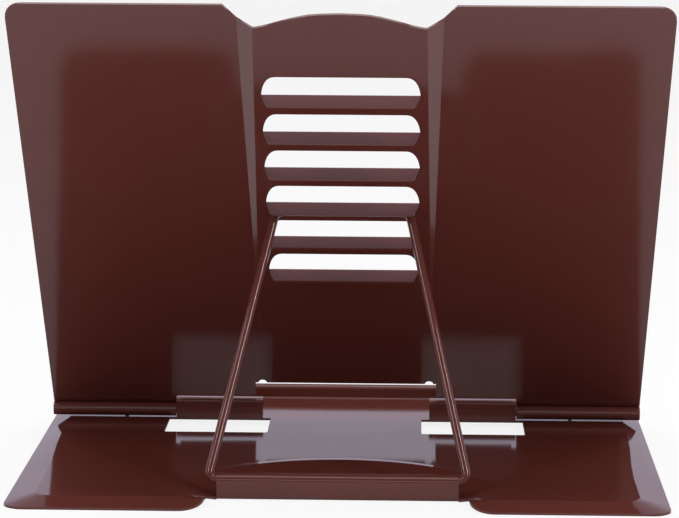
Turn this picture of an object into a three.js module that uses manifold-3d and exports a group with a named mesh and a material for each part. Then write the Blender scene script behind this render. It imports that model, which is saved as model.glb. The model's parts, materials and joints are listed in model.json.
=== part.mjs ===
// Reading stand of enamelled sheet steel with a wire prop, standing open for reading.
// Millimetres, +Z up. The origin is on the table under the middle of the base.
// The reader sits at -Y. The panel leans back towards +Y, where the prop holds it.
import * as THREE from "three";
import { mergeVertices } from "three/addons/utils/BufferGeometryUtils.js";
import Module from "manifold-3d";

const wasm = await Module();
wasm.setup();
const degrees = THREE.MathUtils.degToRad;

// Driving dimensions of the whole stand
const standWidth = 210;
const panelHeight = 190.8;
const panelLean = degrees(37.5);
const sheet = 0.8;
const bendInside = 0.6;
const overrun = 12;
const baseOverhang = 0.5;

// Base plate seen from above, measured back from the hinge axis
const plateTop = 2.8;
const ledgeDepth = 34.8;
const wingReach = 130;
const rearCornerRadius = 6;
const frontCornerRadius = 5;
const wingInnerHalf = 42;
const wingInnerRadius = 8;
const rimWidth = 8;
const sideRimAtHinge = 6.5;
const sideRimAtRear = 9.2;
const rimTaperStart = 22;
const rimTaperLength = 70;
const rimCornerRadius = 4;
const rimRunIn = 16;

// Valley pressed into the base in front of its rear roll
const arcRadius = 54.6;
const arcCentreBack = 121.6;
const valleyHalf = 51;
const valleyFadeLength = 10;

// Windows and hinge tabs of the base
const windowInner = 27.0;
const windowOuter = 63.2;
const windowLength = 24;
const windowCornerRadius = 1;
const tabInner = 29.8;
const tabOuter = 60.7;
const tabCrest = 7.3;
const tabCurl = degrees(120);

// Hinge of the panel
const hingeFloorGap = 0.3;
const pinRadius = 1.4;
const pinClearance = 0.25;
const sideClearance = 0.3;
const pinInset = 0.5;
const pinChamfer = 0.3;
const hingeCurl = degrees(292);

// Front lip and its bead, which carries the page clips
const lipRise = 5;
const lipEndInset = 5;
const lipOverlap = 3;
const beadCurl = degrees(290);

// Page clips of spring wire with soft sleeves
const clipWireRadius = 0.75;
const clipClearance = 0.25;
const clipArmInset = 23;
const clipPivotLength = 20;
const clipArmLength = 95;
const clipBend = 2.5;
const clipTipBend = 4;
const clipFinger = 16;
const sleeveRadius = 2;
const sleeveLength = 12;
const sleeveEnd = 1.2;
const sleeveClearance = 0.3;
const clipPageGap = 0.4;

// Prop of one bent wire and the rear roll that it turns in
const propWireRadius = 1.5;
const propClearance = 0.2;
const propTopHalf = 22.2;
const propTopBend = 3.2;
const propFootBend = 3;
const propInsertion = 9;
const propFlapGap = 0.5;
const propPanelGap = 0.35;
const rollHalf = 38.7;
const rollRise = 3.05;
const rollBack = 111.7;
const rollCurl = degrees(285);
const rollSeatLength = 2.8;

// Centre strip of the panel, raised to the rear between two tapering flanks
const stripFoot = 41;
const stripRaise = 3.95;
const stripHalfAtTop = 27.3;
const stripHalfAtFoot = 29.65;
const flankWidthAtTop = 5.4;
const flankWidthAtFoot = 0.3;

// Top edge of the panel
const topCornerRadius = 5.6;
const shoulderHalf = 36.7;
const notchHalf = 32.5;
const notchDepth = 5.3;
const valleyDepth = 6.1;
const archHalf = 26.6;
const archRise = 5.9;
const archShares = [[0.85, 0.18], [0.68, 0.47], [0.36, 0.9], [0, 1]];

// Rest slots and their bent flaps
const slotCount = 6;
const firstSlotTop = 163.55;
const slotPitch = 16.65;
const slotHeight = 8.55;
const slotHalf = 25.4;
const slotCornerWidth = 4.4;
const slotCornerHeight = 7.2;
const flapLength = 7.7;
const flapAngle = degrees(75.5);
const propSlot = 3;

// Foot of the panel: the middle cut-out with its relieved ends, and a notch over each tab
const cutoutHalf = 32.1;
const cutoutTop = 12.9;
const cutoutEarRadius = 1.5;
const cutoutEarInset = 2.5;
const notchTop = 5.9;
const notchEarWidth = 1.8;
const notchEarHeight = 1.1;

// Fineness of the round shapes
const bendStep = degrees(12);
const wireSides = 12;
const pinSides = 24;
const outlineSegments = 6;

// Sizes that follow from the ones above
const halfWidth = standWidth / 2;
const baseHalf = halfWidth + baseOverhang;
const lipHalf = halfWidth - lipEndInset;
const clipArmAcross = halfWidth - clipArmInset;
const middleRadius = pinRadius + pinClearance + sheet / 2;
const hingeOuter = middleRadius + sheet / 2;
const bendMiddle = bendInside + sheet / 2;
const hingeHeight = plateTop + hingeFloorGap + hingeOuter;
const beadMiddle = clipWireRadius + clipClearance + sheet / 2;
const beadOuter = beadMiddle + sheet / 2;
const beadForward = ledgeDepth + beadOuter;
const beadHeight = plateTop + lipRise - beadOuter;
const baseFront = beadForward + beadOuter;
const hingeY = (baseFront - wingReach) / 2;
const rollMiddle = propWireRadius + propClearance + sheet / 2;
const rollHeight = plateTop + rollRise;
const rollWall = rollBack + rollMiddle;
const rollSeat = rollWall - bendMiddle;
const plateRear = rollWall + sheet / 2;
const rimDrop = plateTop - sheet;
const wallMiddle = middleRadius;
const tabBendStart = wallMiddle - bendMiddle;
const windowFront = wallMiddle - sheet / 2;
const stripTilt = Math.atan2(stripRaise, panelHeight - stripFoot);

const maroonEnamel = { color: "#4b2826", roughness: 0.22, metalness: 0 };
const maroonWire = { color: "#56302d", roughness: 0.28, metalness: 0 };
const brownVinyl = { color: "#2d1c1a", roughness: 0.6, metalness: 0 };

// Turns shape x, y and depth into +Y, +Z and +X
const alongX = new THREE.Matrix4().makeBasis(
  new THREE.Vector3(0, 1, 0), new THREE.Vector3(0, 0, 1), new THREE.Vector3(1, 0, 0));

// Turns shape x, y and depth into +X, +Z and -Y
const upright = new THREE.Matrix4().makeBasis(
  new THREE.Vector3(1, 0, 0), new THREE.Vector3(0, 0, 1), new THREE.Vector3(0, -1, 0));

function solidOf(geometry) {
  const bare = geometry.clone();
  bare.deleteAttribute("normal");
  bare.deleteAttribute("uv");
  const merged = mergeVertices(bare);
  const vertProperties = new Float32Array(merged.attributes.position.array);
  const triVerts = new Uint32Array(merged.index.array);
  return new wasm.Manifold(new wasm.Mesh({ numProp: 3, vertProperties, triVerts }));
}

function geometryOf(solid) {
  const mesh = solid.getMesh();
  const geometry = new THREE.BufferGeometry();
  geometry.setAttribute("position", new THREE.BufferAttribute(new Float32Array(mesh.vertProperties), 3));
  geometry.setIndex(new THREE.BufferAttribute(new Uint32Array(mesh.triVerts), 1));
  geometry.computeVertexNormals();
  return geometry;
}

function node(name, geometry, look) {
  const mesh = new THREE.Mesh(geometry, new THREE.MeshStandardMaterial(look));
  mesh.name = name;
  return mesh;
}

// The outline of a sheet bent in one plane, walked along its middle.
// A move is a straight run, or a turn (to the left when positive) at a middle radius.
function bentSheet(startX, startY, heading, moves) {
  const left = [];
  const right = [];
  let x = startX;
  let y = startY;
  let angle = heading;
  const mark = () => {
    const acrossX = -Math.sin(angle) * sheet / 2;
    const acrossY = Math.cos(angle) * sheet / 2;
    left.push(new THREE.Vector2(x + acrossX, y + acrossY));
    right.push(new THREE.Vector2(x - acrossX, y - acrossY));
  };
  mark();
  for (const move of moves) {
    if (move.run) {
      x += move.run * Math.cos(angle);
      y += move.run * Math.sin(angle);
      mark();
      continue;
    }
    const side = Math.sign(move.turn);
    const centreX = x - side * move.radius * Math.sin(angle);
    const centreY = y + side * move.radius * Math.cos(angle);
    const steps = Math.ceil(Math.abs(move.turn) / bendStep);
    for (let step = 0; step < steps; step += 1) {
      angle += move.turn / steps;
      x = centreX + side * move.radius * Math.sin(angle);
      y = centreY - side * move.radius * Math.cos(angle);
      mark();
    }
  }
  return new THREE.Shape([...left, ...right.reverse()]);
}

function extrudeAcross(shape, from, to) {
  const options = { depth: to - from, bevelEnabled: false, curveSegments: outlineSegments };
  const geometry = new THREE.ExtrudeGeometry(shape, options);
  geometry.applyMatrix4(alongX);
  geometry.translate(from, 0, 0);
  return solidOf(geometry);
}

// A prism through the base, from its plan
function prismUp(shape) {
  const options = { depth: overrun * 2, bevelEnabled: false, curveSegments: outlineSegments };
  const geometry = new THREE.ExtrudeGeometry(shape, options);
  geometry.translate(0, 0, -overrun);
  return solidOf(geometry);
}

// A prism through the panel, from its front view
function prismThrough(shape) {
  const options = { depth: overrun * 2, bevelEnabled: false, curveSegments: outlineSegments };
  const geometry = new THREE.ExtrudeGeometry(shape, options);
  geometry.applyMatrix4(upright);
  geometry.translate(0, overrun, 0);
  return solidOf(geometry);
}

// A pressed sheet from a grid of points on one face, the other face one offset away
function pressedSheet(rows, offset) {
  const columns = rows[0].length;
  const face = rows.flat();
  const back = face.map((point) => point.clone().add(offset));
  const alongColumn = rows[0][1].clone().sub(rows[0][0]);
  const alongRow = rows[1][0].clone().sub(rows[0][0]);
  const turned = alongColumn.cross(alongRow).dot(offset) > 0;
  const index = [];
  const triangle = (a, b, c) => index.push(...(turned ? [a, c, b] : [a, b, c]));
  const quad = (a, b, c, d) => {
    triangle(a, b, c);
    triangle(a, c, d);
  };
  const other = face.length;
  for (let j = 0; j + 1 < rows.length; j += 1) {
    for (let i = 0; i + 1 < columns; i += 1) {
      const a = j * columns + i;
      quad(a, a + 1, a + 1 + columns, a + columns);
      quad(other + a, other + a + columns, other + a + 1 + columns, other + a + 1);
    }
  }
  for (let i = 0; i + 1 < columns; i += 1) {
    const last = (rows.length - 1) * columns + i;
    quad(other + i, other + i + 1, i + 1, i);
    quad(last, last + 1, other + last + 1, other + last);
  }
  for (let j = 0; j + 1 < rows.length; j += 1) {
    const first = j * columns;
    const end = first + columns - 1;
    quad(first, first + columns, other + first + columns, other + first);
    quad(end, other + end, other + end + columns, end + columns);
  }
  const geometry = new THREE.BufferGeometry().setFromPoints([...face, ...back]);
  geometry.setIndex(index);
  return solidOf(geometry);
}

function mirrored(values) {
  const inner = values.filter((value) => value > 0);
  return [...inner.map((value) => -value).reverse(), ...values];
}

function clamp01(value) {
  return Math.min(1, Math.max(0, value));
}

function smooth01(value) {
  const share = clamp01(value);
  return share * share * (3 - 2 * share);
}

// Distance back to the arched crease, which starts the valley, at a place across the base
function creaseBack(across) {
  const reach = Math.min(Math.abs(across), valleyHalf);
  return arcCentreBack - Math.sqrt(arcRadius * arcRadius - reach * reach);
}

// Width of the sloping rim along the base's side, which grows towards the rear
function sideRim(back) {
  const taper = smooth01((back - rimTaperStart) / rimTaperLength);
  return sideRimAtHinge + (sideRimAtRear - sideRimAtHinge) * taper;
}

// Signed distance out of the base's rear half, drawn in by two insets and rounded at the corner
function beyondCorner(across, back, sideInset, rearInset, radius) {
  const side = Math.abs(across) - baseHalf + sideInset + radius;
  const rear = back - wingReach + rearInset + radius;
  const within = Math.min(Math.max(side, rear), 0);
  return within + Math.hypot(Math.max(side, 0), Math.max(rear, 0)) - radius;
}

// How far the base's upper face lies under its flat level. The rim slopes evenly from its crease
// to the base's edge, and the valley from the arched crease to the rear roll.
function plateDrop(across, back) {
  const beyond = Math.max(0, beyondCorner(across, back, sideRim(back), rimWidth, rimCornerRadius));
  const inside = Math.max(0, -beyondCorner(across, back, 0, 0, rearCornerRadius));
  const rimShare = beyond > 0 ? beyond / (beyond + inside) : 0;
  const sideFade = smooth01((back + ledgeDepth - lipOverlap * 2) / rimRunIn);
  const rim = rimShare * sideFade;
  const crease = creaseBack(across);
  const along = clamp01((back - crease) / (rollSeat - rollSeatLength - crease));
  const after = clamp01((plateRear + valleyFadeLength - back) / valleyFadeLength);
  const beside = 1 - smooth01((Math.abs(across) - rollHalf) / (valleyHalf - rollHalf));
  return rimDrop * Math.max(rim, along * after * beside);
}

function plateOutline() {
  const front = -ledgeDepth - sheet / 2 + bendMiddle;
  const shape = new THREE.Shape();
  shape.moveTo(-baseHalf + frontCornerRadius, front);
  shape.lineTo(baseHalf - frontCornerRadius, front);
  shape.absarc(baseHalf - frontCornerRadius, front + frontCornerRadius, frontCornerRadius,
    -Math.PI / 2, 0);
  shape.absarc(baseHalf - rearCornerRadius, wingReach - rearCornerRadius, rearCornerRadius,
    0, Math.PI / 2);
  shape.absarc(wingInnerHalf + wingInnerRadius, wingReach - wingInnerRadius, wingInnerRadius,
    Math.PI / 2, Math.PI);
  shape.lineTo(wingInnerHalf, plateRear);
  shape.lineTo(rollHalf, plateRear);
  shape.lineTo(rollHalf, rollSeat);
  shape.lineTo(-rollHalf, rollSeat);
  shape.lineTo(-rollHalf, plateRear);
  shape.lineTo(-wingInnerHalf, plateRear);
  shape.absarc(-wingInnerHalf - wingInnerRadius, wingReach - wingInnerRadius, wingInnerRadius,
    0, Math.PI / 2);
  shape.absarc(-baseHalf + rearCornerRadius, wingReach - rearCornerRadius, rearCornerRadius,
    Math.PI / 2, Math.PI);
  shape.absarc(-baseHalf + frontCornerRadius, front + frontCornerRadius, frontCornerRadius,
    Math.PI, Math.PI * 1.5);
  return shape;
}

function plateSheet() {
  const rimShares = [0.25, 0.5, 0.75, 1];
  const cornerShares = [1, 0.75, 0.5, 0.25, 0];
  const taperShares = [0, 0.3, 0.6, 0.85];
  const archShareList = [0, 0.2, 0.4, 0.6, 0.8];
  const inner = mirrored([
    ...archShareList.map((share) => share * rollHalf), rollHalf, wingInnerHalf,
    (wingInnerHalf + valleyHalf) / 2, valleyHalf,
  ]);
  const rimAcross = (back) => [
    ...cornerShares.map((share) => baseHalf - sideRim(back) - share * rimCornerRadius),
    ...rimShares.map((share) => baseHalf - (1 - share) * sideRim(back)),
  ];
  const front = -ledgeDepth - sheet / 2 + bendMiddle;
  const runInShares = [0, 0.33, 0.67, 1];
  const backsAt = (x) => [
    front,
    ...runInShares.map((share) => -ledgeDepth + lipOverlap * 2 + share * rimRunIn),
    ...taperShares.map((share) => rimTaperStart + share * (creaseBack(x) - rimTaperStart)),
    creaseBack(x),
    rollSeat - rollSeatLength,
    rollSeat,
    plateRear,
    ...cornerShares.map((share) => wingReach - rimWidth - share * rimCornerRadius),
    ...rimShares.map((share) => wingReach - rimWidth + share * rimWidth),
  ];
  const outerBacks = backsAt(valleyHalf);
  const rows = outerBacks.map((outerBack, j) => {
    const outer = rimAcross(outerBack);
    const across = [...outer.map((x) => -x).reverse(), ...inner, ...outer];
    return across.map((x) => {
      const back = backsAt(x)[j];
      return new THREE.Vector3(x, back, plateTop - plateDrop(x, back));
    });
  });
  return pressedSheet(rows, new THREE.Vector3(0, 0, -sheet));
}

function windowOutline(side) {
  const rear = windowFront + windowLength;
  const inner = side * windowInner;
  const outer = side * windowOuter;
  const round = side * windowCornerRadius;
  const shape = new THREE.Shape();
  shape.moveTo(inner, windowFront);
  shape.lineTo(outer, windowFront);
  shape.lineTo(outer, rear - windowCornerRadius);
  shape.quadraticCurveTo(outer, rear, outer - round, rear);
  shape.lineTo(inner + round, rear);
  shape.quadraticCurveTo(inner, rear, inner, rear - windowCornerRadius);
  return shape;
}

// A hinge tab: a flat wall lifted from its window, folded over the pin and curled back under it
function tabProfile() {
  const topFold = plateTop + tabCrest - sheet / 2 - bendMiddle;
  const wallFoot = plateTop - sheet / 2 + bendMiddle;
  return bentSheet(tabBendStart - lipOverlap, plateTop - sheet / 2, 0, [
    { run: lipOverlap },
    { turn: Math.PI / 2, radius: bendMiddle },
    { run: topFold - wallFoot },
    { turn: Math.PI / 2, radius: bendMiddle },
    { run: (middleRadius - bendMiddle) * 2 },
    { turn: Math.PI / 2, radius: bendMiddle },
    { run: topFold - hingeHeight },
    { turn: tabCurl, radius: middleRadius },
  ]);
}

// The front lip: a low wall whose top edge is curled forward into a bead
function lipProfile() {
  const bendStart = ledgeDepth + sheet / 2 - bendMiddle;
  const wallFoot = plateTop - sheet / 2 + bendMiddle;
  return bentSheet(-bendStart + lipOverlap, plateTop - sheet / 2, Math.PI, [
    { run: lipOverlap },
    { turn: -Math.PI / 2, radius: bendMiddle },
    { run: beadHeight - wallFoot },
    { turn: beadCurl, radius: beadMiddle },
  ]);
}

// The rear roll: a low wall whose top edge is curled forward around the prop's ends
function rollProfile() {
  return bentSheet(rollSeat - rollSeatLength, sheet / 2, 0, [
    { run: rollSeatLength },
    { turn: Math.PI / 2, radius: bendMiddle },
    { run: rollHeight - sheet / 2 - bendMiddle },
    { turn: rollCurl, radius: rollMiddle },
  ]);
}

// The gap in the bead through which a page clip's arm leaves it
function clipNotch(side) {
  const inner = side * (clipArmAcross - clipBend - clipClearance);
  const outer = side * (clipArmAcross + clipWireRadius + clipClearance * 2);
  const foot = beadHeight - beadOuter - clipClearance;
  const shape = new THREE.Shape();
  shape.moveTo(-beadForward - overrun, foot);
  shape.lineTo(-ledgeDepth + overrun, foot);
  shape.lineTo(-ledgeDepth + overrun, foot + overrun);
  shape.lineTo(-beadForward - overrun, foot + overrun);
  return extrudeAcross(shape, Math.min(inner, outer), Math.max(inner, outer));
}

function basePlate() {
  let solid = plateSheet().intersect(prismUp(plateOutline()));
  for (const side of [-1, 1]) {
    solid = solid.subtract(prismUp(windowOutline(side)));
    const from = Math.min(side * tabInner, side * tabOuter);
    const to = Math.max(side * tabInner, side * tabOuter);
    solid = solid.add(extrudeAcross(tabProfile(), from, to));
  }
  solid = solid.add(extrudeAcross(lipProfile(), -lipHalf, lipHalf));
  solid = solid.add(extrudeAcross(rollProfile(), -rollHalf, rollHalf));
  for (const side of [-1, 1]) {
    solid = solid.subtract(clipNotch(side));
  }
  return node("base_plate", geometryOf(solid), maroonEnamel);
}

// Half widths of the raised strip and depth of its rear face at a height up the panel
function stripHalf(height) {
  const share = (height - stripFoot) / (panelHeight - stripFoot);
  return stripHalfAtFoot + (stripHalfAtTop - stripHalfAtFoot) * Math.max(0, share);
}

function flankWidth(height) {
  const share = (height - stripFoot) / (panelHeight - stripFoot);
  return flankWidthAtFoot + (flankWidthAtTop - flankWidthAtFoot) * Math.max(0, share);
}

function stripDepth(height) {
  return stripRaise * Math.max(0, height - stripFoot) / (panelHeight - stripFoot);
}

// The panel's pressed sheet: flat wings, two tapering flanks and the raised centre strip
function panelSheet() {
  const wingFace = -middleRadius + sheet / 2;
  const heights = [0, stripFoot, panelHeight + overrun];
  const rows = heights.map((height) => {
    const raised = wingFace + stripDepth(height);
    const inner = stripHalf(height);
    const outer = inner + flankWidth(height);
    return [
      new THREE.Vector3(-halfWidth - overrun, wingFace, height),
      new THREE.Vector3(-outer, wingFace, height),
      new THREE.Vector3(-inner, raised, height),
      new THREE.Vector3(inner, raised, height),
      new THREE.Vector3(outer, wingFace, height),
      new THREE.Vector3(halfWidth + overrun, wingFace, height),
    ];
  });
  return pressedSheet(rows, new THREE.Vector3(0, -sheet, 0));
}

// Half of the panel's outline, from the middle of the cut-out round to the top of the arch
function panelHalfOutline() {
  const points = [];
  const add = (x, y) => points.push(new THREE.Vector2(x, y));
  const arc = (x, y, radius, from, to) => {
    for (let step = 0; step <= outlineSegments; step += 1) {
      const angle = from + (to - from) * step / outlineSegments;
      add(x + radius * Math.cos(angle), y + radius * Math.sin(angle));
    }
  };
  add(0, cutoutTop);
  arc(cutoutHalf - cutoutEarInset, cutoutTop, cutoutEarRadius, Math.PI, 0);
  add(cutoutHalf, cutoutTop);
  add(cutoutHalf, notchTop);
  const rollInner = tabOuter + sideClearance;
  add(rollInner - notchEarWidth, notchTop);
  add(rollInner - notchEarWidth, notchTop + notchEarHeight);
  add(rollInner, notchTop + notchEarHeight);
  add(rollInner, 0);
  add(halfWidth, 0);
  arc(halfWidth - topCornerRadius, panelHeight - topCornerRadius, topCornerRadius, 0, Math.PI / 2);
  add(shoulderHalf, panelHeight);
  add(notchHalf, panelHeight - notchDepth);
  const archFoot = new THREE.Vector2(archHalf, panelHeight - valleyDepth);
  const crown = archShares.map(([across, up]) =>
    new THREE.Vector2(archHalf * across, archFoot.y + archRise * up));
  const curve = new THREE.SplineCurve([archFoot, ...crown]);
  return [...points, ...curve.getPoints(outlineSegments * 2)];
}

function panelOutline() {
  const right = panelHalfOutline();
  const left = right.slice(1, -1).reverse().map((point) => new THREE.Vector2(-point.x, point.y));
  return new THREE.Shape([...right, ...left]);
}

// A slot, or with a start above its foot the free part of the flap that was cut from it
function tongueOutline(foot, top) {
  const cornerFoot = top - slotCornerHeight;
  const shape = new THREE.Shape();
  shape.moveTo(-slotHalf, foot);
  shape.lineTo(slotHalf, foot);
  shape.lineTo(slotHalf, Math.max(foot, cornerFoot));
  shape.bezierCurveTo(slotHalf - slotCornerWidth / 8, top - slotCornerHeight / 3,
    slotHalf - slotCornerWidth / 2, top, slotHalf - slotCornerWidth, top);
  shape.lineTo(-slotHalf + slotCornerWidth, top);
  shape.bezierCurveTo(-slotHalf + slotCornerWidth / 2, top,
    -slotHalf + slotCornerWidth / 8, top - slotCornerHeight / 3,
    -slotHalf, Math.max(foot, cornerFoot));
  return shape;
}

// A flap: the slot's tongue, bent to the rear about the slot's lower edge
function flapSolid(slotFoot) {
  const face = -middleRadius + sheet / 2;
  const bendCentreBack = face + bendInside;
  const profile = bentSheet(face - sheet / 2, slotFoot - bendInside, Math.PI / 2, [
    { turn: -flapAngle, radius: bendMiddle },
    { run: flapLength - bendMiddle },
  ]);
  const strip = extrudeAcross(profile, -slotHalf, slotHalf);
  const tongue = new THREE.ExtrudeGeometry(
    tongueOutline(-overrun, flapLength + bendInside - sheet),
    { depth: overrun, bevelEnabled: false, curveSegments: outlineSegments });
  tongue.applyMatrix4(upright);
  tongue.translate(0, overrun / 2 + face, 0);
  tongue.rotateX(-flapAngle);
  tongue.translate(0, bendCentreBack, slotFoot - bendInside);
  return strip.intersect(solidOf(tongue));
}

// Turns a solid made on the wings' plane into the tilted plane of the raised strip
function ontoStrip(geometry) {
  const place = new THREE.Matrix4().makeTranslation(0, 0, stripFoot);
  place.multiply(new THREE.Matrix4().makeRotationX(-stripTilt));
  place.multiply(new THREE.Matrix4().makeTranslation(0, 0, -stripFoot));
  geometry.applyMatrix4(place);
  return solidOf(geometry);
}

function hingeRollProfile() {
  return bentSheet(-middleRadius, notchTop / 2, -Math.PI / 2, [
    { run: notchTop / 2 },
    { turn: hingeCurl, radius: middleRadius },
  ]);
}

function backPanel() {
  let solid = panelSheet().intersect(prismThrough(panelOutline()));
  for (let slot = 0; slot < slotCount; slot += 1) {
    const top = firstSlotTop - slot * slotPitch;
    const foot = top - slotHeight;
    solid = solid.subtract(ontoStrip(geometryOf(prismThrough(tongueOutline(foot, top)))));
    solid = solid.add(ontoStrip(geometryOf(flapSolid(foot))));
  }
  const rollInner = tabOuter + sideClearance;
  solid = solid.add(extrudeAcross(hingeRollProfile(), rollInner, halfWidth));
  solid = solid.add(extrudeAcross(hingeRollProfile(), -halfWidth, -rollInner));
  return node("back_panel", geometryOf(solid), maroonEnamel);
}

// A wire's middle line, straight between rounded corners, with its sections where it bends
class WirePath extends THREE.Curve {
  constructor(corners, radii) {
    super();
    this.stations = [{ point: corners[0], tangent: corners[1].clone().sub(corners[0]).normalize() }];
    for (let k = 1; k + 1 < corners.length; k += 1) {
      this.addBend(corners[k - 1], corners[k], corners[k + 1], radii[k - 1]);
    }
    const last = corners.length - 1;
    const tangent = corners[last].clone().sub(corners[last - 1]).normalize();
    this.stations.push({ point: corners[last], tangent });
  }

  addBend(before, corner, after, radius) {
    const incoming = corner.clone().sub(before).normalize();
    const outgoing = after.clone().sub(corner).normalize();
    const turn = incoming.angleTo(outgoing);
    const reach = radius * Math.tan(turn / 2);
    const start = corner.clone().addScaledVector(incoming, -reach);
    const inward = outgoing.clone().addScaledVector(incoming, -outgoing.dot(incoming)).normalize();
    const steps = Math.ceil(turn / bendStep);
    for (let step = 0; step <= steps; step += 1) {
      const angle = turn * step / steps;
      const point = start.clone()
        .addScaledVector(incoming, radius * Math.sin(angle))
        .addScaledVector(inward, radius * (1 - Math.cos(angle)));
      const tangent = incoming.clone().multiplyScalar(Math.cos(angle))
        .addScaledVector(inward, Math.sin(angle));
      this.stations.push({ point, tangent });
    }
  }

  get steps() {
    return this.stations.length - 1;
  }

  getPointAt(share) {
    return this.stations[Math.round(share * this.steps)].point.clone();
  }

  getTangentAt(share) {
    return this.stations[Math.round(share * this.steps)].tangent.clone();
  }
}

function wire(corners, radii, radius) {
  const path = new WirePath(corners, radii);
  const section = new THREE.Shape();
  section.absarc(0, 0, radius, 0, Math.PI * 2);
  const options = { steps: path.steps, extrudePath: path, bevelEnabled: false, curveSegments: wireSides };
  return geometryOf(solidOf(new THREE.ExtrudeGeometry(section, options)));
}

// A hinge pin with chamfered ends, on the hinge axis
function hingePin(name, side) {
  const inner = tabInner;
  const outer = halfWidth - pinInset;
  const profile = [
    new THREE.Vector2(0, inner),
    new THREE.Vector2(pinRadius - pinChamfer, inner),
    new THREE.Vector2(pinRadius, inner + pinChamfer),
    new THREE.Vector2(pinRadius, outer - pinChamfer),
    new THREE.Vector2(pinRadius - pinChamfer, outer),
    new THREE.Vector2(0, outer),
  ];
  const geometry = new THREE.LatheGeometry(profile, pinSides);
  geometry.rotateZ(-side * Math.PI / 2);
  return node(name, geometryOf(solidOf(geometry)), maroonWire);
}

// Where the prop's bar rests, seen from the side: back from and above the hinge axis
function propSeat() {
  const slotFoot = firstSlotTop - propSlot * slotPitch - slotHeight;
  const face = -middleRadius + sheet / 2;
  const back = face + propWireRadius + propPanelGap;
  const bendEnd = slotFoot - bendInside + bendInside * Math.sin(flapAngle);
  const slope = Math.PI / 2 - flapAngle;
  const fromBend = back - face - bendInside + bendInside * Math.cos(flapAngle);
  const height = bendEnd + fromBend * Math.tan(slope)
    - (propWireRadius + propFlapGap) / Math.cos(slope);
  const seat = new THREE.Vector3(0, back, height - stripFoot);
  seat.applyAxisAngle(new THREE.Vector3(1, 0, 0), -stripTilt);
  seat.z += stripFoot;
  return seat.applyAxisAngle(new THREE.Vector3(1, 0, 0), -panelLean);
}

function propWire() {
  const seat = propSeat();
  const foot = new THREE.Vector3(0, rollBack, rollHeight - hingeHeight);
  const length = seat.distanceTo(foot);
  const corners = [];
  const footHalf = rollHalf + propFootBend;
  corners.push(new THREE.Vector3(-rollHalf + propInsertion, 0, 0));
  corners.push(new THREE.Vector3(-footHalf, 0, 0));
  corners.push(new THREE.Vector3(-propTopHalf, 0, length));
  corners.push(new THREE.Vector3(propTopHalf, 0, length));
  corners.push(new THREE.Vector3(footHalf, 0, 0));
  corners.push(new THREE.Vector3(rollHalf - propInsertion, 0, 0));
  const radii = [propFootBend, propTopBend, propTopBend, propFootBend];
  const mesh = node("prop_wire", wire(corners, radii, propWireRadius), maroonWire);
  mesh.rotation.x = Math.atan2(foot.y - seat.y, seat.z - foot.z);
  mesh.position.set(0, rollBack, rollHeight);
  return mesh;
}

// The clip's lean that keeps its sleeve one page gap off the panel's front face
function clipLean() {
  const hingeFromBead = new THREE.Vector2(beadForward, hingeHeight - beadHeight);
  const normalAngle = -panelLean;
  const normal = new THREE.Vector2(Math.cos(normalAngle), Math.sin(normalAngle));
  const faceDistance = hingeFromBead.dot(normal) - hingeOuter;
  const reach = faceDistance - sleeveRadius - clipPageGap;
  return Math.acos(reach / clipArmLength) - panelLean;
}

// A page clip and its sleeve, turning in the bead, made upright and then leaned on the panel
function pageClip(side, clipName, sleeveName) {
  const pivotInner = side * (clipArmAcross - clipPivotLength);
  const arm = side * clipArmAcross;
  const tip = side * (clipArmAcross - clipFinger);
  const corners = [
    new THREE.Vector3(pivotInner, 0, 0),
    new THREE.Vector3(arm, 0, 0),
    new THREE.Vector3(arm, 0, clipArmLength),
    new THREE.Vector3(tip, 0, clipArmLength),
  ];
  const clip = node(clipName, wire(corners, [clipBend, clipTipBend], clipWireRadius), maroonWire);
  const bore = clipWireRadius + sleeveClearance;
  const boreEnd = sleeveLength - sleeveEnd;
  const profile = [
    new THREE.Vector2(0, boreEnd),
    new THREE.Vector2(bore, boreEnd),
    new THREE.Vector2(bore, 0),
    new THREE.Vector2(sleeveRadius, 0),
    new THREE.Vector2(sleeveRadius, sleeveLength - sleeveEnd),
    new THREE.Vector2(sleeveRadius - sleeveEnd / 2, sleeveLength - sleeveEnd / 4),
    new THREE.Vector2(0, sleeveLength),
  ];
  const shell = new THREE.LatheGeometry(profile, pinSides);
  shell.rotateZ(side * Math.PI / 2);
  const mouth = tip - side * (sleeveClearance - boreEnd);
  shell.translate(mouth, 0, clipArmLength);
  const sleeve = node(sleeveName, geometryOf(solidOf(shell)), brownVinyl);
  const group = new THREE.Group();
  group.add(clip, sleeve);
  group.rotation.x = clipLean() - Math.PI / 2;
  group.position.set(0, -beadForward, beadHeight);
  return group;
}

function readingStand() {
  const stand = new THREE.Group();
  const atHinge = new THREE.Group();
  atHinge.position.y = hingeY;
  stand.add(atHinge);
  atHinge.add(basePlate());

  const onAxis = new THREE.Group();
  onAxis.position.z = hingeHeight;
  onAxis.add(hingePin("hinge_pin_left", 1), hingePin("hinge_pin_right", -1));
  const panel = backPanel();
  panel.rotation.x = -panelLean;
  onAxis.add(panel);
  atHinge.add(onAxis);

  atHinge.add(propWire());
  atHinge.add(pageClip(1, "page_clip_left", "clip_tip_left"));
  atHinge.add(pageClip(-1, "page_clip_right", "clip_tip_right"));
  return stand;
}

export default readingStand();
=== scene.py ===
"""A folding reading stand of enamelled sheet steel, seen from behind.

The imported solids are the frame. Each sheet and each hinge pin is a copy of its own solid with its
doubles merged. The panel's long creases are rounded, and the cut edges of both sheets are broken.
The prop and the page clips are drawn along their bends again with a round section, and the sleeves
are spun from a profile. All lengths are in metres unless a name ends in _MM.
"""

import json
import math

import bmesh
import bpy
from mathutils import Matrix, Vector


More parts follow.
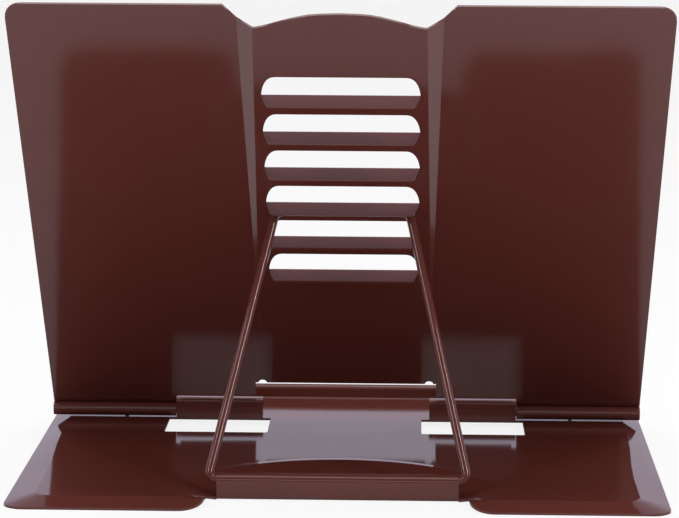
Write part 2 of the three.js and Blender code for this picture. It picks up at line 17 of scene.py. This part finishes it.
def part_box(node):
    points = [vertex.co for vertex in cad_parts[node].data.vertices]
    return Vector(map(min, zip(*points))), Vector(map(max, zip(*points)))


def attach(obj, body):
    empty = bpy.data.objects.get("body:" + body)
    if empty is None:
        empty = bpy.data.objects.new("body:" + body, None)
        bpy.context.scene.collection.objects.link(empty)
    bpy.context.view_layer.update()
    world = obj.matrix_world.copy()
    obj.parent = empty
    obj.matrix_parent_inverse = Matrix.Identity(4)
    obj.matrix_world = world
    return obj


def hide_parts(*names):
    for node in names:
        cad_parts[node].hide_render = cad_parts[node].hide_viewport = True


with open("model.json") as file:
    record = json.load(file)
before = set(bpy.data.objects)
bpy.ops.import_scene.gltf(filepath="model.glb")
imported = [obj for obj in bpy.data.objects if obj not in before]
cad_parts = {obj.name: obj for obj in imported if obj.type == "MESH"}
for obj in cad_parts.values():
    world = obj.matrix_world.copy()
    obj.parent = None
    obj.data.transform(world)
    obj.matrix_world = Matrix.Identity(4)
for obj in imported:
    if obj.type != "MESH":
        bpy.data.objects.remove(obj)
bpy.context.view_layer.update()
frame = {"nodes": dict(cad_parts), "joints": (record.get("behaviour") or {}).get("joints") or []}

MM = 0.001

# Sizes of the stand that its finish needs
PLATE_TOP_MM = 2.8
SHEET_MM = 0.8
ARC_RADIUS_MM = 54.6
ARC_CENTRE_BACK_MM = 121.6
ARC_HALF_MM = 53.0
PROP_RADIUS_MM = 1.5
PROP_TOP_HALF_MM = 22.2
PROP_TOP_BEND_MM = 3.2
PROP_FOOT_BEND_MM = 3.0
PROP_INSERTION_MM = 9.0
ROLL_HALF_MM = 38.7
CLIP_RADIUS_MM = 0.75
CLIP_BEND_MM = 2.5
CLIP_TIP_BEND_MM = 4.0
CLIP_PIVOT_LENGTH_MM = 20.0
CLIP_FINGER_MM = 16.0
SLEEVE_RADIUS_MM = 2.0
SLEEVE_LENGTH_MM = 12.0

# The sleeve's profile: the end that it is measured from, radii onward from there, share of the radius
SLEEVE_PROFILE = [
    (-1, 0.0, 0.62),
    (-1, 0.0, 0.94),
    (-1, 0.12, 1.0),
    (1, -0.7, 1.0),
    (1, -0.25, 0.8),
    (1, 0.0, 0.35),
    (1, 0.0, 0.0),
]

# The low ridge that the press tool leaves just outside the arched crease
RIDGE_WIDTH_MM = 2.2
RIDGE_SLOPE = 0.055

# Fineness of the finished shapes
MERGE = 0.002 * MM
MATCH_DECIMALS = 6
FLAT_ANGLE = math.radians(0.15)
EDGE_BREAK = 0.16 * MM
EDGE_SEGMENTS = 2
CUT_EDGE_ANGLE = math.radians(60)
CREASE_ROUND = 1.1 * MM
CREASE_SEGMENTS = 5
CREASE_LENGTH = 20 * MM
PANEL_CREASE_LOW = math.radians(25)
PANEL_CREASE_HIGH = math.radians(50)
SHARP_ANGLE = math.radians(38)
PRESS_CREASE_LOW = math.radians(1.5)
LARGEST_FACES_ONLY = 100
WIRE_SIDES = 32
WIRE_END_SHARE = 0.25
WIRE_END_SEGMENTS = 2
BEND_STEPS = 14

# The enamel's film, apart from what differs between sheets and wires
TONE_MM = 45
NIB_SPACING_MM = 19
NIB_SHARE = 0.022
NIB_HEIGHT_MM = 0.05
ENAMEL_IOR = 1.46
HAZE_ROUGHNESS = 0.45

# The sleeves' skin
MOTTLE_MM = 1.2
MOTTLE_DEPTH_MM = 0.03
MOTTLE_STRENGTH = 0.6
VINYL_ROUGHNESS = 0.48
VINYL_IOR = 1.46

# The table and the surroundings. The turns and heights are parts of a direction of length one.
FLOOR_HALF = 3.0
TABLE_LOW = "#f4f4f5"
TABLE_HIGH = "#f7f7f8"
TABLE_GRAIN_MM = 48
BACKDROP_LOW = "#d7d3e6"
BACKDROP_HIGH = "#b6afbc"
DARK_ROOM = "#6f6d73"
WHITE = "#ffffff"
CAMERA_GLOW = 0.85
MIRROR_GLOW = 0.1
ROOM_TURN = 0.3
BACKDROP_DIMS_FROM = 0.15
BACKDROP_DIMS_TO = 0.8

# Each lamp: name, place, the point it faces, width and height, power in watts
LAMPS = [
    ("lamp_above", (0, -0.08, 1.3), (0, 0, 0), (1.2, 0.45), 6.2),
    ("lamp_over_camera", (0, 0.5, 1.2), (0, 0.05, 0), (1.0, 0.35), 2.8),
    ("lamp_left", (0.92, 0.71, 0.92), (0, 0, 0.05), (0.12, 0.55), 3.3),
    ("lamp_right", (-0.92, 0.71, 0.92), (0, 0, 0.05), (0.12, 0.55), 5.9),
    ("lamp_behind_camera", (0, 1.9, 0.75), (0, 0.05, 0.05), (1.2, 0.5), 2.3),
]

# The photograph's camera, placed across, behind the hinge axis and above the plate's top
CAMERA_FROM_HINGE_MM = (-23.24, 1001.13, 213.17)
CAMERA_YAW = math.radians(1.4808)
CAMERA_PITCH = math.radians(8.823)
CAMERA_ROLL = math.radians(-0.282)
CAMERA_FOCAL_PX = 2847.85
CAMERA_NEAR = 0.05
IMAGE_WIDTH = 679
SENSOR_MM = 36.0


def joint_place(name):
    joint = next(joint for joint in frame["joints"] if joint["name"] == name)
    return Vector(joint["pos_m"])


# Nodes

def linear(hex_colour):
    """An sRGB hex colour as linear red, green, blue and alpha."""
    parts = [int(hex_colour[i:i + 2], 16) / 255 for i in (1, 3, 5)]
    return [c / 12.92 if c <= 0.04045 else ((c + 0.055) / 1.055) ** 2.4 for c in parts] + [1.0]


def add(tree, kind, inputs=None, **settings):
    """Adds a node with its settings, and gives each input a value or a link.

    A node that is given as an input is linked from its first output in use.
    """
    made = tree.nodes.new(kind)
    for name, value in settings.items():
        setattr(made, name, value)
    for key, value in (inputs or {}).items():
        if isinstance(value, bpy.types.Node):
            value = next(output for output in value.outputs if output.enabled)
        if isinstance(value, bpy.types.NodeSocket):
            tree.links.new(value, made.inputs[key])
        else:
            made.inputs[key].default_value = value
    return made


def per_metre(size_mm):
    """The noise scale that gives features of this size."""
    return 1 / (size_mm * MM)


def new_material(name):
    material = bpy.data.materials.new(name)
    material.use_nodes = True
    material.node_tree.nodes.clear()
    return material, material.node_tree


# Materials

def ridged_normal(tree, place, skin):
    """Leans the surface away from the arched crease, along the low ridge beside it."""
    centre_back = ARC_CENTRE_BACK_MM * MM + joint_place("panel_hinge").y
    half_width = RIDGE_WIDTH_MM * MM / 2
    level = add(tree, "ShaderNodeVectorMath", {0: place, 1: (1, 1, 0)}, operation="MULTIPLY")
    out = add(tree, "ShaderNodeVectorMath", {0: level, 1: (0, centre_back, 0)}, operation="SUBTRACT")
    reach = add(tree, "ShaderNodeVectorMath", {0: out}, operation="LENGTH")
    off_middle = add(tree, "ShaderNodeMath", {0: reach, 1: ARC_RADIUS_MM * MM + half_width},
                     operation="SUBTRACT")
    aside = add(tree, "ShaderNodeMath", {0: off_middle}, operation="ABSOLUTE")
    near = add(tree, "ShaderNodeMath", {0: aside, 1: half_width}, operation="LESS_THAN")
    parts = add(tree, "ShaderNodeSeparateXYZ", {0: place})
    across = add(tree, "ShaderNodeMath", {0: parts.outputs["X"]}, operation="ABSOLUTE")
    beside = add(tree, "ShaderNodeMath", {0: across, 1: ARC_HALF_MM * MM}, operation="LESS_THAN")
    before = add(tree, "ShaderNodeMath", {0: parts.outputs["Y"], 1: centre_back}, operation="LESS_THAN")
    on_arc = add(tree, "ShaderNodeMath", {0: beside, 1: before}, operation="MULTIPLY")
    on_ridge = add(tree, "ShaderNodeMath", {0: near, 1: on_arc}, operation="MULTIPLY")
    slope = add(tree, "ShaderNodeMath", {0: on_ridge, 1: RIDGE_SLOPE}, operation="MULTIPLY")
    heading = add(tree, "ShaderNodeVectorMath", {0: out}, operation="NORMALIZE")
    lean = add(tree, "ShaderNodeVectorMath", {0: heading, "Scale": slope}, operation="SCALE")
    leaned = add(tree, "ShaderNodeVectorMath", {0: skin, 1: lean}, operation="ADD")
    return add(tree, "ShaderNodeVectorMath", {0: leaned}, operation="NORMALIZE")


def enamel(name, light_hex, deep_hex, wave_mm, wave_depth_mm, peel_mm, peel_depth_mm, roughness, haze,
           ridged=False):
    """Sprayed and stoved gloss enamel on steel: a clear wet gloss over a dark red brown.

    The sheet under it is never quite flat, so mirror images bend in long waves, and the film
    itself has a fine orange peel that frays their edges. A few dust nibs are caught in it, and
    polishing has left a faint haze, drawn as a thin rough coat.
    """
    material, tree = new_material(name)
    place = add(tree, "ShaderNodeTexCoord").outputs["Object"]
    tone = add(tree, "ShaderNodeTexNoise", {"Vector": place, "Scale": per_metre(TONE_MM), "Detail": 3.0})
    colour = add(tree, "ShaderNodeMix", {
        "Factor": tone, "A": linear(deep_hex), "B": linear(light_hex)}, data_type="RGBA")
    wave = add(tree, "ShaderNodeTexNoise", {"Vector": place, "Scale": per_metre(wave_mm), "Detail": 1.0})
    waved = add(tree, "ShaderNodeBump", {
        "Height": wave, "Strength": 1.0, "Distance": wave_depth_mm * MM})
    peel = add(tree, "ShaderNodeTexNoise", {"Vector": place, "Scale": per_metre(peel_mm), "Detail": 2.0})
    peeled = add(tree, "ShaderNodeBump", {
        "Height": peel, "Strength": 1.0, "Distance": peel_depth_mm * MM, "Normal": waved})
    nib = add(tree, "ShaderNodeTexVoronoi", {
        "Vector": place, "Scale": per_metre(NIB_SPACING_MM), "Randomness": 1.0})
    nib_height = add(tree, "ShaderNodeMapRange", {
        "Value": nib, "From Min": 0.0, "From Max": NIB_SHARE, "To Min": 1.0, "To Max": 0.0})
    skin = add(tree, "ShaderNodeBump", {
        "Height": nib_height, "Strength": 1.0, "Distance": NIB_HEIGHT_MM * MM, "Normal": peeled})
    if ridged:
        skin = ridged_normal(tree, place, skin)
    shader = add(tree, "ShaderNodeBsdfPrincipled", {
        "Base Color": colour, "Roughness": roughness, "IOR": ENAMEL_IOR, "Normal": skin,
        "Coat Weight": haze, "Coat Roughness": HAZE_ROUGHNESS, "Coat IOR": ENAMEL_IOR})
    add(tree, "ShaderNodeOutputMaterial", {"Surface": shader})
    return material


def vinyl(name, light_hex, deep_hex):
    """Dipped soft vinyl: a dull, slightly greasy skin with faint mottling."""
    material, tree = new_material(name)
    place = add(tree, "ShaderNodeTexCoord").outputs["Object"]
    mottle = add(tree, "ShaderNodeTexNoise", {
        "Vector": place, "Scale": per_metre(MOTTLE_MM), "Detail": 4.0})
    colour = add(tree, "ShaderNodeMix", {
        "Factor": mottle, "A": linear(deep_hex), "B": linear(light_hex)}, data_type="RGBA")
    skin = add(tree, "ShaderNodeBump", {
        "Height": mottle, "Strength": MOTTLE_STRENGTH, "Distance": MOTTLE_DEPTH_MM * MM})
    shader = add(tree, "ShaderNodeBsdfPrincipled", {
        "Base Color": colour, "Roughness": VINYL_ROUGHNESS, "IOR": VINYL_IOR, "Normal": skin})
    add(tree, "ShaderNodeOutputMaterial", {"Surface": shader})
    return material


# The panel's enamel: soft mirror images under the strongest haze
sheet_enamel = enamel(
    "gloss_enamel_on_sheet_steel", "#622f28", "#5a2b24",
    wave_mm=60, wave_depth_mm=0.3, peel_mm=2.2, peel_depth_mm=0.006, roughness=0.11, haze=0.14)

# The base's enamel: glossier, so that the table and the panel mirror in it with clear edges
base_enamel = enamel(
    "gloss_enamel_on_ridged_sheet_steel", "#622f28", "#5a2b24",
    wave_mm=60, wave_depth_mm=0.35, peel_mm=2.2, peel_depth_mm=0.005, roughness=0.08, haze=0.03,
    ridged=True)

# The wires' enamel: a smooth film on drawn wire, with thin sharp highlights
wire_enamel = enamel(
    "gloss_enamel_on_steel_wire", "#65332c", "#5d2e28",
    wave_mm=30, wave_depth_mm=0.04, peel_mm=1.8, peel_depth_mm=0.002, roughness=0.05, haze=0.03)

# The sleeves' vinyl: almost black brown beside the gloss of the wires
tip_vinyl = vinyl("dipped_soft_vinyl", "#30201d", "#241715")


# Finishing of shapes

def linked(name, shape):
    """Turns a bmesh into an object of the scene."""
    mesh = bpy.data.meshes.new(name)
    shape.to_mesh(mesh)
    shape.free()
    made = bpy.data.objects.new(name, mesh)
    bpy.context.scene.collection.objects.link(made)
    return made


def finished(name, shape, body, material, slot, *nodes):
    """Turns a bmesh into a smooth-shaded piece that rides on a body and stands for CAD nodes."""
    piece = linked(name, shape)
    piece.data.materials.append(material)
    piece.data.shade_smooth()
    piece.data.set_sharp_from_angle(angle=SHARP_ANGLE)
    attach(piece, body)
    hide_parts(*nodes)
    return piece


def keep_flats_flat(piece):
    """Large flat faces keep their own normal, so that they mirror without a gradient."""
    weighted = piece.modifiers.new("flat_faces_first", "WEIGHTED_NORMAL")
    weighted.keep_sharp = True
    weighted.weight = LARGEST_FACES_ONLY


def merged_copy(node):
    """A copy of a CAD node's mesh with its doubles merged and its flat faces joined."""
    shape = bmesh.new()
    shape.from_mesh(frame["nodes"][node].data)
    for face in shape.faces:
        face.material_index = 0
    bmesh.ops.remove_doubles(shape, verts=shape.verts, dist=MERGE)
    bmesh.ops.dissolve_degenerate(shape, edges=shape.edges, dist=MERGE)
    bmesh.ops.dissolve_limit(shape, angle_limit=FLAT_ANGLE, verts=shape.verts, edges=shape.edges)
    return shape


def edge_angle(edge):
    return edge.calc_face_angle(0.0) if edge.is_manifold else 0.0


def cut_edges(shape):
    return [edge for edge in shape.edges if edge_angle(edge) > CUT_EDGE_ANGLE]


def round_edges(shape, edges, offset, segments, clamp=True):
    bmesh.ops.bevel(shape, geom=edges, offset=offset, segments=segments, affect="EDGES",
                    profile=0.5, material=-1, clamp_overlap=clamp)


def round_creases(shape):
    """Gives the panel's long pressed creases the radius that the press tool leaves."""
    creases = [edge for edge in shape.edges
               if PANEL_CREASE_LOW < edge_angle(edge) < PANEL_CREASE_HIGH
               and edge.calc_length() > CREASE_LENGTH]
    round_edges(shape, creases, CREASE_ROUND, CREASE_SEGMENTS)


def break_cut_edges(shape):
    """Breaks the cut edges, where the enamel draws back to a soft corner."""
    round_edges(shape, cut_edges(shape), EDGE_BREAK, EDGE_SEGMENTS)


def end_points(places):
    """The two ends of an edge, rounded so that a mesh and its bmesh agree."""
    return frozenset(tuple(round(value, MATCH_DECIMALS) for value in place) for place in places)


def press_creases(shape):
    """The ends of each edge where the base's flat, on either face, turns down into its rim or
    its valley."""
    levels = (PLATE_TOP_MM * MM, (PLATE_TOP_MM - SHEET_MM) * MM)
    found = set()
    for edge in shape.edges:
        flat = any(all(abs(end.co.z - level) < MERGE for end in edge.verts) for level in levels)
        if flat and PRESS_CREASE_LOW < edge_angle(edge) < SHARP_ANGLE:
            found.add(end_points(end.co for end in edge.verts))
    return found


def mark_press_creases(piece, creases):
    """Keeps the creases of the base crisp, so that a mirror image breaks off at them."""
    vertices = piece.data.vertices
    for edge in piece.data.edges:
        if end_points(vertices[index].co for index in edge.vertices) in creases:
            edge.use_edge_sharp = True


def dressed_panel():
    shape = merged_copy("back_panel")
    round_creases(shape)
    break_cut_edges(shape)
    piece = finished("enamelled_panel", shape, "panel", sheet_enamel, "sheet_enamel", "back_panel")
    keep_flats_flat(piece)


def dressed_base():
    shape = merged_copy("base_plate")
    break_cut_edges(shape)
    creases = press_creases(shape)
    piece = finished("enamelled_base", shape, "base", base_enamel, "sheet_enamel", "base_plate")
    mark_press_creases(piece, creases)
    keep_flats_flat(piece)


def dressed_pin(node, name):
    shape = merged_copy(node)
    finished(name, shape, "base", wire_enamel, "wire_enamel", node)


# Bent wires

def ring_edges(verts):
    """The edges between these vertices, each once."""
    inside = set(verts)
    found = [edge for vert in verts for edge in vert.link_edges
             if all(end in inside for end in edge.verts)]
    return list(dict.fromkeys(found))


def new_verts(items):
    return [item for item in items if isinstance(item, bmesh.types.BMVert)]


def drawn_wire(corners, radii, radius):
    """A round wire drawn straight between its corners and spun around each bend."""
    shape = bmesh.new()
    heading = (corners[1] - corners[0]).normalized()
    turn = heading.to_track_quat("Z", "Y").to_matrix().to_4x4()
    made = bmesh.ops.create_circle(shape, radius=radius, segments=WIRE_SIDES,
                                   matrix=Matrix.Translation(corners[0]) @ turn)
    ring = made["verts"]
    place = corners[0]
    for index in range(1, len(corners)):
        corner = corners[index]
        heading = (corner - corners[index - 1]).normalized()
        bends = index < len(corners) - 1
        reach = 0.0
        if bends:
            onward = (corners[index + 1] - corner).normalized()
            angle = heading.angle(onward)
            reach = radii[index - 1] * math.tan(angle / 2)
        end = corner - heading * reach
        out = bmesh.ops.extrude_edge_only(shape, edges=ring_edges(ring))
        ring = new_verts(out["geom"])
        bmesh.ops.translate(shape, verts=ring, vec=end - place)
        place = end
        if bends:
            axis = heading.cross(onward).normalized()
            centre = end + axis.cross(heading).normalized() * radii[index - 1]
            out = bmesh.ops.spin(shape, geom=ring + ring_edges(ring), cent=centre, axis=axis,
                                 angle=angle, steps=BEND_STEPS, use_duplicate=False)
            ring = new_verts(out["geom_last"])
            place = corner + onward * reach
    bmesh.ops.remove_doubles(shape, verts=shape.verts, dist=MERGE)
    bmesh.ops.holes_fill(shape, edges=shape.edges)
    round_edges(shape, cut_edges(shape), radius * WIRE_END_SHARE, WIRE_END_SEGMENTS, clamp=False)
    bmesh.ops.recalc_face_normals(shape, faces=shape.faces)
    return shape


def dressed_prop():
    """The prop, from one end inside the base's roll, over its top bar, to the other."""
    radius = PROP_RADIUS_MM * MM
    low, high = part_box("prop_wire")
    pivot = joint_place("prop_swing")
    bar = Vector((0, low.y + radius, high.z - radius))
    foot_half = (ROLL_HALF_MM + PROP_FOOT_BEND_MM) * MM
    insertion = (ROLL_HALF_MM - PROP_INSERTION_MM) * MM
    top_half = PROP_TOP_HALF_MM * MM
    across = Vector((1, 0, 0))
    corners = [
        pivot - across * insertion,
        pivot - across * foot_half,
        bar - across * top_half,
        bar + across * top_half,
        pivot + across * foot_half,
        pivot + across * insertion,
    ]
    foot_bend = PROP_FOOT_BEND_MM * MM
    top_bend = PROP_TOP_BEND_MM * MM
    shape = drawn_wire(corners, [foot_bend, top_bend, top_bend, foot_bend], radius)
    finished("enamelled_prop", shape, "prop", wire_enamel, "wire_enamel", "prop_wire")


def dressed_clip(side, word):
    """A page clip and its sleeve, from the pivot in the bead to the tip on the page."""
    low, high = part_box(f"clip_tip_{word}")
    pivot = joint_place(f"clip_{word}_swing")
    sleeve_centre = (low + high) / 2
    across = Vector((side, 0, 0))
    reach = max(abs(corner.x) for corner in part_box(f"page_clip_{word}")) - CLIP_RADIUS_MM * MM
    foot = Vector((0, pivot.y, pivot.z))
    tip = Vector((0, sleeve_centre.y, sleeve_centre.z))
    corners = [
        foot + across * (reach - CLIP_PIVOT_LENGTH_MM * MM),
        foot + across * reach,
        tip + across * reach,
        tip + across * (reach - CLIP_FINGER_MM * MM),
    ]
    bends = [CLIP_BEND_MM * MM, CLIP_TIP_BEND_MM * MM]
    shape = drawn_wire(corners, bends, CLIP_RADIUS_MM * MM)
    body = f"clip_{word}"
    finished(f"enamelled_clip_{word}", shape, body, wire_enamel, "wire_enamel", f"page_clip_{word}")
    dressed_sleeve(side, word, sleeve_centre)


def dressed_sleeve(side, word, centre):
    """A dipped sleeve: a soft tube with a round nose."""
    radius = SLEEVE_RADIUS_MM * MM
    half = SLEEVE_LENGTH_MM * MM / 2
    shape = bmesh.new()
    line = []
    for end, onward, share in SLEEVE_PROFILE:
        along = end * half + onward * radius
        line.append(shape.verts.new(centre + Vector((-side * along, 0, share * radius))))
    for first, second in zip(line, line[1:]):
        shape.edges.new((first, second))
    bmesh.ops.spin(shape, geom=list(shape.verts) + list(shape.edges), cent=centre, axis=(1, 0, 0),
                   angle=math.tau, steps=WIRE_SIDES, use_merge=True, use_duplicate=False)
    bmesh.ops.remove_doubles(shape, verts=shape.verts, dist=MERGE)
    bmesh.ops.holes_fill(shape, edges=shape.edges)
    bmesh.ops.recalc_face_normals(shape, faces=shape.faces)
    body = f"clip_{word}"
    finished(f"vinyl_sleeve_{word}", shape, body, tip_vinyl, "tip_vinyl", f"clip_tip_{word}")


# The white table, the surroundings, the lamps and the camera

def white_table():
    """A matt white table that shows as white and keeps a faint shadow."""
    shape = bmesh.new()
    bmesh.ops.create_grid(shape, x_segments=1, y_segments=1, size=FLOOR_HALF)
    floor = linked("white_table", shape)
    material, tree = new_material("matt_white_table")
    place = add(tree, "ShaderNodeTexCoord").outputs["Object"]
    path = add(tree, "ShaderNodeLightPath")
    grain = add(tree, "ShaderNodeTexNoise", {
        "Vector": place, "Scale": per_metre(TABLE_GRAIN_MM), "Detail": 2.0})
    shade = add(tree, "ShaderNodeMix", {
        "Factor": grain, "A": linear(TABLE_LOW), "B": linear(TABLE_HIGH)}, data_type="RGBA")
    matt = add(tree, "ShaderNodeBsdfDiffuse", {"Color": shade})
    glow = add(tree, "ShaderNodeEmission", {"Color": linear(WHITE), "Strength": 1.0})
    in_mirror = add(tree, "ShaderNodeMath", {
        0: path.outputs["Is Glossy Ray"], 1: path.outputs["Is Transmission Ray"]}, operation="MAXIMUM")
    to_camera = add(tree, "ShaderNodeMath", {0: path.outputs["Is Camera Ray"], 1: CAMERA_GLOW},
                    operation="MULTIPLY")
    share = add(tree, "ShaderNodeMath", {0: in_mirror, 1: MIRROR_GLOW, 2: to_camera},
                operation="MULTIPLY_ADD")
    mixed = add(tree, "ShaderNodeMixShader", {"Fac": share, 1: matt, 2: glow})
    add(tree, "ShaderNodeOutputMaterial", {"Surface": mixed})
    floor.data.materials.append(material)


def white_room():
    """White to the camera. To the stand it is a studio: a pale backdrop beyond the reader's side,
    dimmer high up, and a darker room behind the camera."""
    world = bpy.data.worlds.new("white_room")
    bpy.context.scene.world = world
    world.use_nodes = True
    tree = world.node_tree
    tree.nodes.clear()
    path = add(tree, "ShaderNodeLightPath")
    heading = add(tree, "ShaderNodeTexCoord").outputs["Generated"]
    parts = add(tree, "ShaderNodeSeparateXYZ", {0: heading})
    behind = add(tree, "ShaderNodeMapRange", {
        "Value": parts.outputs["Y"], "From Min": -ROOM_TURN, "From Max": ROOM_TURN},
        interpolation_type="SMOOTHSTEP")
    height = add(tree, "ShaderNodeMapRange", {
        "Value": parts.outputs["Z"], "From Min": BACKDROP_DIMS_FROM, "From Max": BACKDROP_DIMS_TO})
    backdrop = add(tree, "ShaderNodeMix", {
        "Factor": height, "A": linear(BACKDROP_LOW), "B": linear(BACKDROP_HIGH)}, data_type="RGBA")
    studio = add(tree, "ShaderNodeMix", {
        "Factor": behind, "A": backdrop, "B": linear(DARK_ROOM)}, data_type="RGBA")
    colour = add(tree, "ShaderNodeMix", {
        "Factor": path.outputs["Is Camera Ray"], "A": studio, "B": linear(WHITE)}, data_type="RGBA")
    light = add(tree, "ShaderNodeBackground", {"Color": colour, "Strength": 1.0})
    add(tree, "ShaderNodeOutputWorld", {"Surface": light})


def soft_lamp(name, place, aim, size, power):
    data = bpy.data.lights.new(name, "AREA")
    data.shape = "RECTANGLE"
    data.size = size[0]
    data.size_y = size[1]
    data.energy = power
    lamp = bpy.data.objects.new(name, data)
    bpy.context.scene.collection.objects.link(lamp)
    lamp.location = place
    lamp.rotation_euler = (Vector(aim) - Vector(place)).to_track_quat("-Z", "Y").to_euler()


def photograph_camera():
    """The camera that fits the photograph's outlines and mirror images."""
    data = bpy.data.cameras.new("photograph_camera")
    camera = bpy.data.objects.new("photograph_camera", data)
    bpy.context.scene.collection.objects.link(camera)
    level = math.cos(CAMERA_PITCH)
    forward = Vector((math.sin(CAMERA_YAW) * level, -math.cos(CAMERA_YAW) * level,
                      -math.sin(CAMERA_PITCH)))
    right = forward.cross(Vector((0, 0, 1))).normalized()
    down = forward.cross(right)
    image_right = right * math.cos(CAMERA_ROLL) + down * math.sin(CAMERA_ROLL)
    image_down = down * math.cos(CAMERA_ROLL) - right * math.sin(CAMERA_ROLL)
    turn = Matrix((image_right, -image_down, -forward)).transposed().to_4x4()
    across, behind, above = CAMERA_FROM_HINGE_MM
    hinge = joint_place("panel_hinge")
    place = Vector((across * MM, hinge.y + behind * MM, (PLATE_TOP_MM + above) * MM))
    camera.matrix_world = Matrix.Translation(place) @ turn
    data.sensor_width = SENSOR_MM
    data.lens = CAMERA_FOCAL_PX * SENSOR_MM / IMAGE_WIDTH
    data.clip_start = CAMERA_NEAR
    bpy.context.scene.camera = camera


dressed_panel()
dressed_base()
dressed_pin("hinge_pin_left", "enamelled_pin_left")
dressed_pin("hinge_pin_right", "enamelled_pin_right")
dressed_prop()
dressed_clip(1, "left")
dressed_clip(-1, "right")

white_table()
white_room()
for lamp in LAMPS:
    soft_lamp(*lamp)
photograph_camera()

bpy.context.scene.view_settings.view_transform = "Standard"
